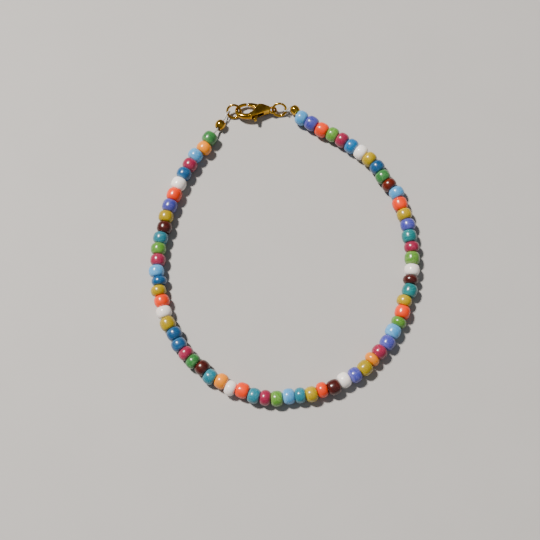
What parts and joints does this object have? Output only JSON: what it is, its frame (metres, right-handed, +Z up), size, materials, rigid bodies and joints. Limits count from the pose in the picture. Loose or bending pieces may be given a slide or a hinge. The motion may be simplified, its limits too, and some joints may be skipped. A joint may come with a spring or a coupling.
{
  "type": "beaded anklet",
  "caption": "Anklet of rounded coloured glass beads on clear thread, closed by crimps, jump rings and a small lobster clasp, lying as a closed loop.",
  "frame": {"origin": "under the middle of the loop, on the surface that the anklet lies on", "axes": "+Z up through the loop, +Y towards the clasp"},
  "size_m": [0.0757, 0.0894, 0.0044],
  "materials": {
    "glass_green": "glossy bead glass, opaque mid green",
    "glass_leaf": "glossy bead glass, light leaf green with a pearly rim",
    "glass_amber": "glossy bead glass, opaque warm amber",
    "glass_white": "glossy bead glass, opaque milk white",
    "glass_orange": "glossy bead glass, opaque orange red",
    "glass_yellow": "glossy bead glass, translucent olive yellow",
    "glass_pink": "glossy bead glass, opaque raspberry pink",
    "glass_blue": "glossy bead glass, pearly blue",
    "glass_cerulean": "glossy bead glass, pearly light blue",
    "glass_sky": "glossy bead glass, pearly sky blue",
    "glass_periwinkle": "glossy bead glass, opaque violet blue",
    "glass_turquoise": "glossy bead glass, pearly turquoise",
    "glass_teal": "glossy bead glass, opaque blue green",
    "glass_maroon": "glossy bead glass, dark translucent red brown",
    "glass_chestnut": "glossy bead glass, dark red brown",
    "bead_strand": "glossy bead glass in mixed colours, one colour to a bead",
    "gold": "polished yellow gold plating",
    "nylon": "clear smooth nylon thread"
  },
  "bodies": {
    "anklet": {"bead_01": "glass_green", "bead_02": "glass_amber", "bead_03": "glass_sky", "bead_04": "glass_pink", "bead_05": "glass_blue", "bead_06": "glass_white", "bead_07": "glass_orange", "bead_08": "glass_periwinkle", "bead_09": "glass_yellow", "bead_10": "glass_maroon", "bead_11": "glass_turquoise", "bead_12": "glass_leaf", "bead_13": "glass_pink", "bead_14": "glass_sky", "bead_15": "glass_blue", "bead_16": "glass_yellow", "bead_17": "glass_orange", "bead_18": "glass_white", "bead_19": "glass_yellow", "bead_20": "glass_blue", "bead_48": "glass_maroon", "bead_49": "glass_white", "bead_50": "glass_leaf", "bead_51": "glass_pink", "bead_52": "glass_teal", "bead_53": "glass_periwinkle", "bead_54": "glass_yellow", "bead_55": "glass_orange", "bead_56": "glass_sky", "bead_57": "glass_chestnut", "bead_58": "glass_green", "bead_59": "glass_blue", "bead_60": "glass_yellow", "bead_61": "glass_white", "bead_62": "glass_cerulean", "bead_63": "glass_pink", "bead_64": "glass_leaf", "bead_65": "glass_orange", "bead_66": "glass_periwinkle", "bead_67": "glass_sky", "strand_a": "bead_strand", "strand_b": "bead_strand", "strand_c": "bead_strand", "thread": "nylon", "crimp_left": "gold", "crimp_right": "gold", "jump_ring_left": "gold", "jump_ring_right": "gold", "clasp_body": "gold", "clasp_pin": "gold"},
    "lever": {"clasp_lever": "gold"}
  },
  "joints": [
    {"name": "lever_swing", "type": "hinge", "parent": "anklet", "child": "lever", "pos_m": [-0.0074, 0.04269, 0.00165], "axis": [0, 0.2085, 0.978], "range_deg": [0, 28], "stiffness_Nm_per_rad": 0.000004}
  ]
}
